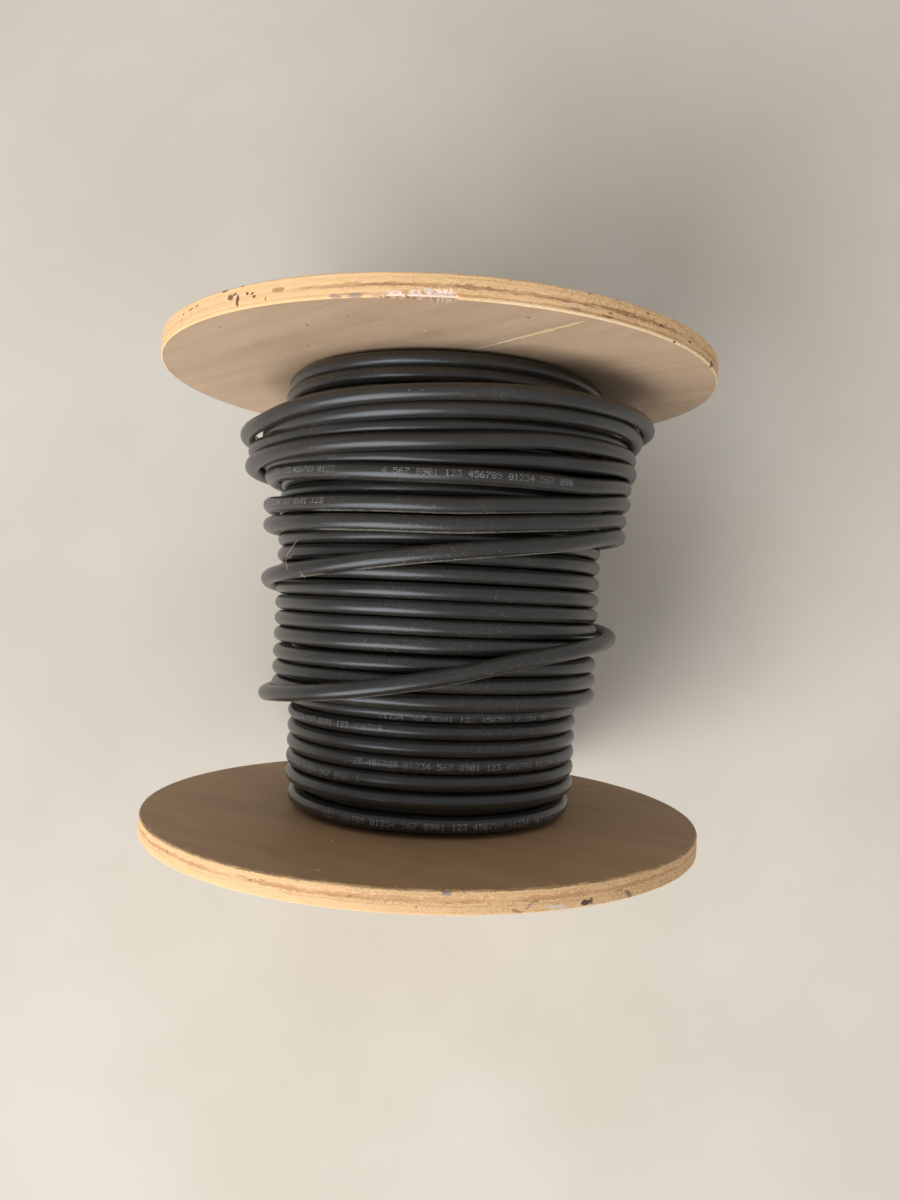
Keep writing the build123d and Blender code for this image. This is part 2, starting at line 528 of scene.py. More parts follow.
# %% The five layers of cable
# Each layer: degrees from one ring of points to the next, and sides of its
# section. Hidden layers need fewer of both than the ones in view.
layer_detail = {
    "cable_layer_1": (6.0, 10),
    "cable_layer_2": (6.0, 10),
    "cable_layer_3": (4.0, 14),
    "cable_layer_4": (3.0, 18),
    "cable_loose_layer": (2.5, 20),
}
for layer, (angle_step, sides) in layer_detail.items():
    start = max(layer_span[layer][0], line_start)
    end = min(layer_span[layer][1], line_end)
    angles = np.linspace(start, end, int((end - start) / angle_step) + 1)
    piece = swept(layer, cable_point(angles), 2 * CABLE_RADIUS, sides, jacket)
    print(layer, len(piece.data.polygons), "faces")
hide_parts("cable_winding")
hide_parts("cable_loose_turns")

# %% [markdown]
# A fine pale print runs along the jacket, made of ink dots five wide and
# seven high. Here it is only plain numbers that count on. Each dot is a point
# on the jacket that knows which way the surface faces, and Geometry Nodes put
# a flat round dot on every point and turn it to face that way.

# %% Where the print stands
# Each digit is seven rows from the top, and the bits of a row are its dots.
DIGIT_ROWS = {
    "0": (14, 17, 19, 21, 25, 17, 14), "1": (4, 12, 4, 4, 4, 4, 14), "2": (14, 17, 1, 2, 4, 8, 31),
    "3": (31, 2, 4, 2, 1, 17, 14), "4": (2, 6, 10, 18, 31, 2, 2), "5": (31, 16, 30, 1, 1, 17, 14),
    "6": (6, 8, 16, 30, 17, 17, 14), "7": (31, 1, 2, 4, 8, 8, 8), "8": (14, 17, 17, 14, 17, 17, 14),
    "9": (14, 17, 17, 15, 1, 2, 12),
}
DIGIT_WIDTH = 5
MIDDLE_ROW = 3
COUNTING = "123 456789 01234 567 8901 "
DOT_PITCH = 0.37
DOT_DIAMETER = 0.36
DOT_HEIGHT = 0.03
CHARACTER_PITCH = 2.25
# Each run of print: layer, turn, first and last angle, and how far round the
# section it sits above the middle of the cable, all angles in degrees.
print_runs = [
    ("cable_layer_3", 0, -38, 58, 0), ("cable_layer_3", 2, -78, -20, 0),
    ("cable_layer_3", 3, -24, 76, 2), ("cable_layer_3", 5, -80, -12, 4),
    ("cable_layer_3", 6, -17, 80, -28), ("cable_loose_layer", 4, -78, -27, 4),
    ("cable_loose_layer", 4, -13, 42, 4), ("cable_loose_layer", 3, -80, -31, 12),
]


def jacket_points(angles, tilts):
    """Places on the jacket and the way it faces there. A tilt of 0 is straight out."""
    ahead = along_unit(cable_point(angles + 0.5) - cable_point(angles - 0.5))
    out = outwards(np.radians(angles))
    out = along_unit(out - (out * ahead).sum(axis=1)[:, None] * ahead)
    up = np.cross(out, ahead)
    tilted = np.radians(tilts)[:, None]
    facing = np.cos(tilted) * out + np.sin(tilted) * up
    return cable_point(angles) + CABLE_RADIUS * MM * facing, facing


def ink_dots():
    """The angle and tilt of every dot of print."""
    dots = []
    written = 0
    for layer, turn, start, end, tilt in print_runs:
        zero = layer_span[layer][0] + 180.0 + 360 * turn
        middle = cable_point(np.array([zero]))[0] - np.array(axle)
        degree = math.degrees(1 / (math.hypot(middle[0], middle[2]) / MM + CABLE_RADIUS))
        place = 0.0
        while start + (place + CHARACTER_PITCH) * degree < end:
            rows = DIGIT_ROWS.get(COUNTING[written % len(COUNTING)], ())
            for row, bits in enumerate(rows):
                dot_tilt = tilt + math.degrees((MIDDLE_ROW - row) * DOT_PITCH / CABLE_RADIUS)
                for column in range(DIGIT_WIDTH):
                    if bits >> (DIGIT_WIDTH - 1 - column) & 1:
                        dots.append((zero + start + (place + column * DOT_PITCH) * degree, dot_tilt))
            place += CHARACTER_PITCH
            written += 1
    return np.array(dots).T


# %% Dots of ink
def point_direction(tree):
    """The direction that a point carries, and the turn that points Z along it."""
    kept = {"Name": "facing"}
    facing = made("GeometryNodeInputNamedAttribute", kept, "Attribute", tree, data_type="FLOAT_VECTOR")
    return facing, made("FunctionNodeAlignRotationToVector", {"Vector": facing}, axis="Z")


def dot_tree():
    """A flat round dot on every point, turned to the point's own direction."""
    tree, given = new_tree("ink_dots", {"Dot diameter": "Float", "Dot height": "Float", "Finish": "Material"})
    facing, turn = point_direction(tree)
    size = {"Vertices": 6, "Radius": given["Dot diameter"] / 2.0, "Depth": given["Dot height"]}
    dot = made("GeometryNodeMeshCylinder", size)
    end_tree(set_on_points(given["Geometry"], dot, Rotation=turn), given["Finish"])
    return tree


def with_facing(name, points, facing):
    """A mesh of loose points that carry a direction."""
    mesh = bpy.data.meshes.new(name)
    mesh.from_pydata([tuple(point) for point in points], [], [])
    kept = mesh.attributes.new("facing", "FLOAT_VECTOR", "POINT")
    kept.data.foreach_set("vector", np.asarray(facing, np.float32).ravel())
    return new_object(name, mesh)


def make_ink():
    """Worn pale grey ink."""
    material, tree, shader = new_material("pale_ink")
    worn = object_place(tree).speckle(160.0, 3.0)
    base = between(worn.step(0.35, 0.7), colour(158, 159, 160), colour(98, 98, 98))
    plug(shader, {"Base Color": base, "Roughness": 0.55})
    return material


dot_angles, dot_tilts = ink_dots()
jacket_print = with_facing("cable_print", *jacket_points(dot_angles, dot_tilts))
dot_values = {"Dot diameter": DOT_DIAMETER * MM, "Dot height": DOT_HEIGHT * MM, "Finish": make_ink()}
baked(jacket_print, dot_tree(), dot_values)
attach(jacket_print, BODY)
print("print", len(dot_angles), "dots")


# %% [markdown]
# Two small things finish the cable. Its outer end is a clean cut, which shows
# white foam round a copper wire. And a few pale plant hairs from the floor
# cling to the loose turns: thin tubes, swept by the same tree as the cable.

# %% The cut end
def plain_material(name, tone, roughness, metallic=0.0):
    """A material with slight clouds, for a very small piece."""
    material, tree, shader = new_material(name)
    clouds = object_place(tree).speckle(900.0, 3.0)
    darker = tuple(c * 0.8 for c in tone[:3]) + (1.0,)
    base = between(clouds.step(0.35, 0.65), darker, tone)
    normal = bump(clouds, 0.03 * MM)
    plug(shader, {"Base Color": base, "Roughness": roughness, "Metallic": metallic, "Normal": normal})
    return material


END_INSIDE = 2.0
end_pair = cable_point(np.array([line_end - 0.4, line_end]))
end_direction = along_unit(end_pair[1:] - end_pair[:1])[0]
foam = plain_material("white_foam", colour(226, 224, 214), 0.6)
copper = plain_material("copper_wire", colour(190, 120, 84), 0.3, 1.0)
# Each core of the cable: its material, its diameter and how far it stands out
end_cores = {"cable_end_foam": (foam, 4.6, 0.25), "cable_end_wire": (copper, 1.02, 1.2)}
for name, (material, diameter, stands_out) in end_cores.items():
    points = [end_pair[1] + end_direction * reach * MM for reach in (-END_INSIDE, stands_out)]
    swept(name, points, diameter, 24, material)
print("cut end", list(end_cores))

# %% Plant hairs
# Each hair: points as (angle, height, distance from the axle), degrees and millimetres
hairs = [
    [(-41.7, 20.0, 81.4), (-43.4, 16.6, 82.2), (-44.9, 13.6, 82.8), (-45.2, 11.0, 82.9), (-44.3, 7.7, 82.6)],
    [(-45.0, 13.0, 82.6), (-43.8, 12.6, 82.9), (-42.9, 13.3, 82.6)],
    [(-38.8, 6.9, 82.4), (-37.9, 5.6, 82.4), (-37.1, 4.6, 82.0)],
    [(-38.9, 5.2, 82.3), (-37.6, 5.9, 82.5)],
]
HAIR_DIAMETER = 0.2
straw = plain_material("straw_hair", colour(196, 180, 150), 0.7)
for number, hair in enumerate(hairs, start=1):
    steps = np.linspace(0, len(hair) - 1, 5 * len(hair))
    fine = smooth_line(np.arange(len(hair), dtype=float), np.array(hair), steps)
    swept(f"plant_hair_{number}", round_axle(*fine.T), HAIR_DIAMETER, 6, straw)
print("hairs", len(hairs))


# %% [markdown]
# The flanges are thin hardwood plywood. Their faces are rotary-cut veneer:
# pinkish tan, with long faint streaks, short dark pores and soft smudges from
# handling. The grain runs aslant on both discs. One function paints a face
# from the direction of its grain, and the upper disc also has a split that
# shows fresh yellow wood.

# %% A split in the wood
SPLIT_DEGREES = 47.3
SPLIT_START = 59.5 * MM
SPLIT_END = 118 * MM
SPLIT_OFFSET = 36.4 * MM
SPLIT_WIDTH = 1.05 * MM
SPLIT_THIN = 0.42 * MM


def split_mask(tree):
    """Where the split is, and how far along it: thin at its start, a sliver wide near its end."""
    plain = axle_place(tree, SPLIT_DEGREES)
    along, _, across = plain.parts()
    across += (plain.speckle(260.0) - 0.5) * (1.4 * MM)
    reach = (along - SPLIT_START).maths("DIVIDE", SPLIT_END - SPLIT_START, use_clamp=True)
    swell = reach ** 2.2 * 2.6 * reach.step(1.0, 0.86) * (1.0 - reach.step(0.7, 0.74) * 0.62)
    swell = (swell * SPLIT_WIDTH + SPLIT_THIN) * (reach.step(0.0, 0.03) * reach.step(1.0, 0.97))
    return (swell - abs(across - SPLIT_OFFSET)).step(0.0, 0.2 * MM), reach


# %% Veneer faces
def make_veneer(name, grain_degrees, light, dark, seed, is_split=False):
    """One veneer face. The grain angle is measured from +X towards +Z."""
    material, tree, shader = new_material(name)
    grain = axle_place(tree, grain_degrees)
    grain = made("ShaderNodeMapping", {"Vector": grain, "Location": (seed, seed, seed)})
    x, y, z = grain.parts()
    bent = combined(x, y, z + grain.speckle((14, 14, 40), 1.0) * (9 * MM))
    bands = bent.speckle((12, 10, 85), 3.0)
    streaks = bent.speckle((48, 10, 640), 3.0, 0.6)
    fine = bent.speckle((90, 10, 2600))
    pores = bent.speckle((210, 10, 1700)).step(0.6, 0.72)
    smudge = grain.speckle((26, 10, 46), 3.0)
    shade = (streaks * 0.24 + 0.89) * (fine * 0.22 + 0.89)
    shade = shade - pores * 0.13 - smudge.step(0.58, 0.74) * 0.12
    shade = made("ShaderNodeCombineColor", {0: shade, 1: shade, 2: shade})
    base = between(bands.step(0.25, 0.75), light, dark)
    base = between(1.0, base, shade, "MULTIPLY")
    distance, chance = grain.cells(95.0)
    dots = distance.maths("LESS_THAN", 0.065)
    base = between(dots * chance.maths("LESS_THAN", 0.14) * 0.8, base, colour(232, 214, 190))
    base = between(dots * chance.maths("GREATER_THAN", 0.84) * 0.8, base, colour(96, 74, 56))
    height = fine * 0.5 - pores
    if is_split:
        mask, reach = split_mask(tree)
        fresh = between(reach.step(0.25, 0.6), colour(246, 228, 208), colour(222, 196, 150))
        base = between(mask * 0.9, base, fresh)
        height -= mask * 3.0
    plug(shader, {
        "Base Color": base,
        "Roughness": streaks * 0.2 + 0.5,
        "Specular IOR Level": 0.35,
        "Normal": bump(height, 0.08 * MM, 0.7),
    })
    return material


UPPER_GRAIN = 43.0
LOWER_GRAIN = 32.0
upper_veneer = make_veneer(
    "upper_veneer", UPPER_GRAIN, colour(195, 168, 141), colour(183, 156, 129), 0.31, is_split=True)
lower_veneer = make_veneer("lower_veneer", LOWER_GRAIN, colour(174, 141, 104), colour(164, 131, 97), 0.77)
outer_veneer = make_veneer("outer_veneer", UPPER_GRAIN, colour(205, 178, 145), colour(186, 156, 122), 0.13)
print("made", upper_veneer.name, lower_veneer.name, outer_veneer.name)


# %% [markdown]
# The sawn rim shows the plies. Where a ply's grain runs along the rim it is
# smooth and pale, and where the grain ends at the rim it is coarse and full
# of dark pores, so each ply goes from one to the other round the disc. Glue
# lines part the plies. Knocks have left dark nicks, grey dirt and pale
# bruises: each is one small group with its place and size as inputs.

# %% A group that paints one mark
def mark_group():
    """A patch round a place on the rim, with a ragged edge."""
    tree = bpy.data.node_groups.new("rim_mark", "ShaderNodeTree")
    for label in ("Along", "Across", "Ragged", "Angle", "Depth", "Half length", "Half width", "Slant"):
        tree.interface.new_socket(label, in_out="INPUT", socket_type="NodeSocketFloat")
    tree.interface.new_socket("Mask", in_out="OUTPUT", socket_type="NodeSocketFloat")
    given = tree.nodes.new("NodeGroupInput")
    given = {socket.name: Field(tree, socket) for socket in given.outputs}
    along = (given["Along"] - given["Angle"]) * (rim_radius * math.pi / 180 / MM)
    across = given["Across"] - given["Depth"] - along * given["Slant"]
    along = abs(along / given["Half length"]) ** 2.0
    across = abs(across / given["Half width"]) ** 2.0
    reach = (along + across).maths("SQRT") + (given["Ragged"] - 0.5) * 1.5
    plug(tree.nodes.new("NodeGroupOutput"), {0: reach.step(1.15, 0.8)})
    return tree


rim_mark = mark_group()
DARK = colour(92, 66, 52)
BROWN = colour(168, 122, 84)
GREY = colour(166, 152, 138)
WHITE = colour(228, 212, 198)
PINK = colour(236, 210, 196)
RED_BROWN = colour(214, 140, 104)
COLD_GREY = colour(150, 148, 140)
DEEP_BROWN = colour(96, 74, 62)
DULL_BROWN = colour(150, 126, 104)

# %% The marks of both rims
# Each mark: angle in degrees, depth from the inner face, half length and half
# width in millimetres, slant, colour and strength.
upper_marks = [
    (-36.5, 5.2, 1.5, 1.1, 0.0, DARK, 0.85), (-35.4, 5.9, 1.5, 0.5, 0.2, DARK, 0.8),
    (-34.7, 3.3, 0.8, 2.4, 0.0, DARK, 0.9), (-32.4, 5.2, 0.8, 0.55, 0.0, DARK, 0.9),
    (-31.4, 5.0, 0.8, 0.45, 0.3, DARK, 0.85), (-30.9, 3.7, 0.8, 0.6, 0.0, DARK, 0.9),
    (-28.5, 2.2, 0.4, 0.8, 0.0, DARK, 0.7), (-51.5, 5.6, 0.9, 0.45, 0.3, DARK, 0.85),
    (-48.5, 5.9, 1.8, 0.3, 0.1, DARK, 0.8), (-46.3, 6.1, 1.4, 0.3, 0.2, DARK, 0.8),
    (-38.0, 8.2, 1.6, 0.5, 0.0, DARK, 0.8), (-33.6, 8.3, 1.1, 0.4, 0.0, DARK, 0.6),
    (-52.2, 3.0, 0.3, 1.3, 0.0, BROWN, 0.6), (-26.0, 4.8, 2.6, 0.8, 0.0, BROWN, 0.75),
    (-20.8, 4.3, 2.4, 0.4, 0.0, RED_BROWN, 0.6), (-15.8, 0.7, 2.2, 0.8, 0.0, GREY, 0.8),
    (-12.7, 0.6, 2.8, 0.75, 0.0, GREY, 0.85), (-9.4, 0.5, 1.4, 0.4, 0.0, GREY, 0.5),
    (21.5, 3.0, 2.0, 0.5, 0.0, WHITE, 0.6), (23.3, 3.1, 1.6, 0.4, 0.0, WHITE, 0.5),
    (22.5, 1.8, 2.2, 0.4, 0.0, BROWN, 0.8), (28.2, 1.5, 3.0, 0.5, 0.0, DARK, 0.55),
    (28.9, 2.9, 1.4, 0.4, 0.0, DARK, 0.6), (37.1, 6.9, 1.2, 0.5, 0.0, BROWN, 0.8),
    (40.7, 4.2, 1.5, 0.5, 0.0, DARK, 0.7), (44.8, 0.4, 0.9, 0.4, 0.0, DARK, 0.95),
    (49.9, 3.2, 1.6, 0.5, 0.0, DARK, 0.7), (21.9, 8.1, 1.0, 0.4, 0.0, WHITE, 0.7),
    (24.7, 8.2, 0.5, 0.5, 0.0, DARK, 0.5), (62.0, 1.2, 1.8, 1.5, 0.5, DARK, 0.95),
    (63.5, 1.9, 0.7, 1.6, 0.0, DARK, 0.9), (-6.6, 1.2, 2.8, 1.0, 0.08, PINK, 0.9),
    (-3.2, 1.4, 1.8, 1.5, -0.25, PINK, 0.9), (-0.9, 1.9, 2.4, 1.4, -0.2, PINK, 0.95),
    (1.2, 1.3, 2.0, 1.3, 0.15, PINK, 0.9), (-4.6, 2.0, 1.3, 0.16, 0.5, DARK, 0.5),
    (0.2, 0.9, 1.7, 0.15, 0.35, DARK, 0.6), (2.6, 1.4, 1.8, 0.2, 0.2, DARK, 0.75),
    (-2.2, 2.2, 1.1, 0.14, -0.6, DARK, 0.5),
]
lower_marks = [
    (-47.3, 3.4, 0.45, 0.4, 0.0, DARK, 0.95), (-26.0, 3.6, 0.5, 0.35, 0.0, DARK, 0.85),
    (-8.9, 3.7, 0.7, 0.3, 0.0, BROWN, 0.9), (1.3, 6.0, 0.3, 0.5, 0.0, BROWN, 0.8),
    (5.8, 1.2, 1.9, 0.6, 0.0, COLD_GREY, 0.9), (8.6, 0.9, 0.8, 0.4, 0.0, GREY, 0.7),
    (17.0, 7.6, 2.0, 0.5, 0.3, BROWN, 0.8), (19.0, 6.0, 1.6, 0.6, -0.8, GREY, 0.8),
    (20.0, 4.7, 1.5, 0.5, 0.0, BROWN, 0.7), (23.8, 7.3, 4.6, 0.8, 0.05, WHITE, 0.8),
    (29.2, 7.1, 2.0, 1.0, 0.0, DEEP_BROWN, 1.0), (30.4, 6.8, 0.8, 1.2, 0.0, DARK, 0.8),
    (38.8, 6.9, 2.2, 1.2, 0.5, DULL_BROWN, 0.9), (33.2, 8.3, 0.8, 0.35, 0.0, GREY, 0.9),
    (36.5, 5.0, 3.0, 0.25, 0.0, BROWN, 0.7), (12.0, 2.2, 0.9, 0.5, 0.0, BROWN, 0.4),
    (46.0, 3.2, 2.6, 0.3, 0.0, BROWN, 0.6),
]
print("rim marks", len(upper_marks), "upper and", len(lower_marks), "lower")


# %% Rim material
def ply_rim(flat, level, angle, degrees, grain_degrees, glue_lines, rough_from, pale_from):
    """The bare plies, as colour and height: coarse where the grain ends at the rim, pale elsewhere."""
    direction = angle + math.radians(grain_degrees)
    first_glue = glue_lines[0][0]
    last_glue = glue_lines[-1][0]
    crossing = level.step(first_glue - 0.1, first_glue + 0.1) * level.step(last_glue + 0.1, last_glue - 0.1)
    ends = {0: crossing, 2: abs(direction.maths("SINE")), 3: abs(direction.maths("COSINE"))}
    end_grain = made("ShaderNodeMix", ends, data_type="FLOAT") ** 1.6
    end_grain = end_grain.maths("MAXIMUM", degrees.step(6, 32) * 0.85)
    grit = flat.speckle((1.0, 2.2, 1), 4.0, 0.7)
    drifts = flat.speckle((0.14, 0.5, 1), 3.0, 0.6).step(0.3, 0.62)
    rough_side = degrees.step(rough_from - 12, rough_from + 12)
    pores = flat.speckle((1.1, 2.0, 1), 3.0, 0.6).step(0.56, 0.7) * end_grain * (rough_side * 0.75 + 0.15)
    end_grain = end_grain * (rough_side * 0.8 + 0.2) * (drifts * 0.6 + 0.4)
    smooth = flat.speckle((0.16, 3.2, 1), 3.0, 0.6).step(0.25, 0.75)
    base = between(smooth, colour(252, 214, 164), colour(242, 196, 142))
    coarse = between(grit.step(0.36, 0.64), colour(192, 144, 96), colour(248, 214, 168))
    base = between(end_grain * 0.95, base, coarse)
    base = between(pores * 0.85, base, colour(150, 104, 66))
    pale = level.step(1.2, 0.9) * degrees.step(pale_from - 4, pale_from + 8)
    return between(pale * 0.72, base, colour(250, 224, 184)), grit * 0.45 - pores * 0.6


def make_rim(name, grain_degrees, side, glue_lines, marks, seed,
             rough_from, lines_from=-200.0, pale_from=200.0):
    """The sawn edge of one flange. side is +1 for the upper flange and -1 for the lower.

    The wood is coarse from the angle rough_from onwards. Glue lines show from
    the angle lines_from onwards and are hidden before it. From the angle
    pale_from onwards the face veneer shows as a pale, smooth stripe.
    """
    material, tree, shader = new_material(name)
    x, y, z = axle_place(tree).parts()
    angle = x.maths("ARCTAN2", z)
    degrees = angle * (180 / math.pi)
    depth = (y * side - inner_face) / MM
    flat = combined(angle * (rim_radius / MM), depth, seed)
    level = depth + (flat.speckle((0.09, 0.15, 1), 3.0) - 0.5) * 0.9
    base, height = ply_rim(flat, level, angle, degrees, grain_degrees, glue_lines, rough_from, pale_from)
    streaks = flat.speckle((0.16, 3.2, 1), 3.0, 0.6)
    broken = flat.speckle((0.05, 0.3, 1), 3.0).step(0.28, 0.6) * streaks.step(0.7, 0.5)
    broken *= degrees.step(lines_from - 9, lines_from + 9) * 0.98 + 0.02
    torn_grain = flat.speckle((0.35, 1.3, 1), 4.0, 0.65).step(0.4, 0.68)
    for line_depth, line_width, tone, strength in glue_lines:
        spread_out = torn_grain * (1.3 * line_width) + 0.45 * line_width
        line = (abs(level - line_depth) - spread_out).step(0.3 * line_width, -0.2 * line_width)
        line = line * broken * strength
        base = between(line, base, tone)
        height -= line * 0.8
    ragged = flat.speckle((0.7, 1.1, 1))
    for mark_angle, mark_depth, half_length, half_width, slant, tone, strength in marks:
        sizes = {
            "Along": degrees, "Across": depth, "Ragged": ragged, "Angle": mark_angle, "Depth": mark_depth,
            "Half length": half_length, "Half width": half_width, "Slant": slant,
        }
        base = between(made("ShaderNodeGroup", sizes, node_tree=rim_mark) * strength, base, tone)
    fresh = between(ragged.step(0.3, 0.5), colour(206, 170, 148), colour(244, 222, 206))
    base = between(attribute(tree, "torn", "Fac") * 0.9, base, fresh)
    normal = bump(height, 0.2 * MM, 0.7)
    plug(shader, {"Base Color": base, "Roughness": 0.72, "Specular IOR Level": 0.25, "Normal": normal})
    return material


DARK_GLUE = colour(150, 98, 62)
RED_GLUE = colour(206, 152, 108)
THIN_GLUE = colour(196, 146, 100)
EDGE_WOOD = colour(146, 118, 84)
# Each glue line: depth from the inner face, width, colour and strength
upper_glue = [(1.6, 0.45, THIN_GLUE, 0.75), (4.4, 0.7, DARK_GLUE, 0.75), (7.2, 0.25, THIN_GLUE, 0.3)]
lower_glue = [
    (0.25, 0.4, EDGE_WOOD, 0.9), (1.5, 0.22, THIN_GLUE, 0.2),
    (3.5, 0.8, RED_GLUE, 0.85), (5.4, 0.25, THIN_GLUE, 0.35),
]
upper_rim = make_rim("upper_rim", UPPER_GRAIN, 1, upper_glue, upper_marks, 3.7, -4.0, -18.0, 6.0)
lower_rim = make_rim("lower_rim", LOWER_GRAIN, -1, lower_glue, lower_marks, 8.1, -10.0)
print("made", upper_rim.name, lower_rim.name)

# %% [markdown]
# A flange is turned as a fine grid: one section of the disc, carried round
# the axle in small steps that are closer together on the side in view. Where
# plies meet, the saw has left slight steps, and the rim is a little fuzzy.
# The veneer at the upper disc's inner edge is torn out in one place. These
# are moves of the grid's own points, always inwards, so the disc never grows
# past its CAD size. Boolean cutters then drill the bolt holes and recesses.

# %% The section of a flange
GROOVE_DEPTH = 2.5 * MM
GROOVE_CLEARANCE = 0.2 * MM
TUBE_WALL = 6.0 * MM
ARBOR_RADIUS = 17.5 * MM
EDGE_ROUND = 0.6 * MM
EDGE_EASE = 0.3 * EDGE_ROUND
RIM_STEPS = 20
FACE_RINGS = (0.55, 0.75, 0.88, 0.94, 0.965, 0.978, 0.986, 0.991)


def flange_section():
    """The disc's section as (radius, depth from the inner face, part) round its outline."""
    groove_outside = tube_radius + GROOVE_CLEARANCE
    groove_inside = tube_radius - TUBE_WALL - GROOVE_CLEARANCE
    outline = [
        (ARBOR_RADIUS, EDGE_ROUND, "bore"), (ARBOR_RADIUS + EDGE_EASE, EDGE_EASE, "bore"),
        (ARBOR_RADIUS + EDGE_ROUND, 0.0, "inner"), (groove_inside, 0.0, "inner"),
        (groove_inside, GROOVE_DEPTH, "inner"), (groove_outside, GROOVE_DEPTH, "inner"),
        (groove_outside, 0.0, "inner"),
    ]
    outline += [(rim_radius * share, 0.0, "inner") for share in FACE_RINGS]
    turns = [math.radians(a) for a in (0, 22.5, 45, 67.5, 90)]
    face_radius = rim_radius - EDGE_ROUND
    corner = [(face_radius + EDGE_ROUND * math.sin(a), EDGE_ROUND * (1 - math.cos(a))) for a in turns]
    outline += [(radius, depth, "rim" if depth > 0 else "inner") for radius, depth in corner]
    step_length = (thickness - 2 * EDGE_ROUND) / RIM_STEPS
    outline += [(rim_radius, EDGE_ROUND + step_length * i, "rim") for i in range(1, RIM_STEPS)]
    outline += [(radius, thickness - depth, "rim") for radius, depth in corner[::-1]]
    outline += [(rim_radius * share, thickness, "outer") for share in FACE_RINGS[::-1]]
    outline += [
        (ARBOR_RADIUS + EDGE_ROUND, thickness, "outer"),
        (ARBOR_RADIUS + EDGE_EASE, thickness - EDGE_EASE, "bore"),
        (ARBOR_RADIUS, thickness - EDGE_ROUND, "bore"), (ARBOR_RADIUS, thickness / 2, "bore"),
    ]
    return outline


# %% Wear of the rim
TEAR_DEPTH = 0.75


def rough(*place):
    """A fixed noise value at a place."""
    return noise.noise(Vector(place))


def torn_edge(degrees, depth, radius, chips, seed):
    """How deep the wood is torn at a place, from 0 to 1."""
    deepest = 0.0
    for start, end, reach in chips:
        if not start < degrees < end:
            continue
        share = (degrees - start) / (end - start)
        ragged = rough(degrees * 1.3, seed, 0.0)
        finer = rough(degrees * 2.6, seed + 5.0, 0.6 * depth / MM)
        limit = reach * (4 * share * (1 - share)) ** 0.35 * (0.75 + 0.6 * ragged + 0.35 * finer)
        from_corner = math.hypot(depth, rim_radius - radius)
        deepest = max(deepest, min(1.0, max(0.0, (limit - from_corner) / (0.45 * MM))))
    return deepest


def saw_relief(degrees, depth, side, glue_lines, seed):
    """How far the saw has bitten below the CAD rim at a place, in millimetres."""
    level = depth / MM
    around = degrees * 2.2
    relief = 0.05 + 0.05 * rough(around * 0.12, level * 0.5, seed)
    relief += 0.05 * max(0.0, rough(around * 1.1, level * 2.2, seed + 3.0))
    for line_depth, line_width, _, strength in glue_lines:
        relief += 0.14 * strength * math.exp(-((level - line_depth) / max(line_width, 0.3)) ** 2)
    edge = min(depth, thickness - depth) / MM
    return relief + 0.1 * math.exp(-edge / 0.5) * (1 + rough(around * 0.5, seed, side))


# %% Turning a flange
def turn_flange(name, side, materials, glue_lines, chips, seed):
    """One flange as a closed mesh, its inner face towards the cable."""
    outline = flange_section()
    # The steps round the disc are fine where the camera looks, coarser underneath.
    angles = np.radians(np.concatenate([np.arange(-80, 80, 0.25), np.arange(80, 280, 0.8)]))
    points = []
    torn = []
    for angle in angles:
        degrees = math.degrees(angle)
        for radius, depth, part in outline:
            tear = 0.0
            if radius > 0.9 * rim_radius and part != "outer":
                tear = torn_edge(degrees, depth, radius, chips, seed)
            if part == "rim":
                radius -= saw_relief(degrees, depth, side, glue_lines, seed) * MM
            radius -= TEAR_DEPTH * MM * tear
            depth += TEAR_DEPTH * MM * tear * max(0.0, 1 - depth / (3.0 * MM))
            x = radius * math.sin(angle)
            points.append((x, side * (inner_face + depth), axle_height + radius * math.cos(angle)))
            torn.append(tear)
    count = len(outline)
    faces = []
    slots = []
    for column in range(len(angles)):
        here = column * count
        following = (column + 1) % len(angles) * count
        for row in range(count):
            nearby = (row + 1) % count
            faces.append((here + row, here + nearby, following + nearby, following + row))
            ends = (outline[row][2], outline[nearby][2])
            slots.append(2 if "rim" in ends else 3 if "bore" in ends else ("inner", "outer").index(ends[0]))
    mesh = bpy.data.meshes.new(name)
    mesh.from_pydata(points, [], faces)
    mesh.polygons.foreach_set("material_index", slots)
    mesh.attributes.new("torn", "FLOAT", "POINT").data.foreach_set("value", torn)
    for material in materials:
        mesh.materials.append(material)
    shape = bmesh.new()
    shape.from_mesh(mesh)
    close_shape(shape, mesh)
    return new_object(name, mesh)


def close_shape(shape, mesh):
    """Turns the faces of a closed shape outward and writes it to a mesh."""
    bmesh.ops.recalc_face_normals(shape, faces=shape.faces)
    shape.to_mesh(mesh)
    shape.free()


# %% Sawn wood inside the holes
sawn_wood, sawn_tree, sawn_shader = new_material("sawn_wood")
sawn_grain = axle_place(sawn_tree, UPPER_GRAIN).speckle(420.0, 4.0)
sawn_colour = between(sawn_grain.step(0.3, 0.7), colour(150, 112, 74), colour(204, 164, 116))
plug(sawn_shader, {"Base Color": sawn_colour, "Roughness": 0.8, "Normal": bump(sawn_grain, 0.2 * MM)})
print("made", sawn_wood.name)

# %% Drilling a flange
BOLT_CIRCLE = 32.0 * MM
BOLT_COUNT = 3


def bolt_centres():
    """The bolt axes round the arbor hole, as (x, z); the first is below it."""
    turns = [math.radians(180 + 360 * i / BOLT_COUNT) for i in range(BOLT_COUNT)]
    return [(BOLT_CIRCLE * math.sin(t), axle_height + BOLT_CIRCLE * math.cos(t)) for t in turns]


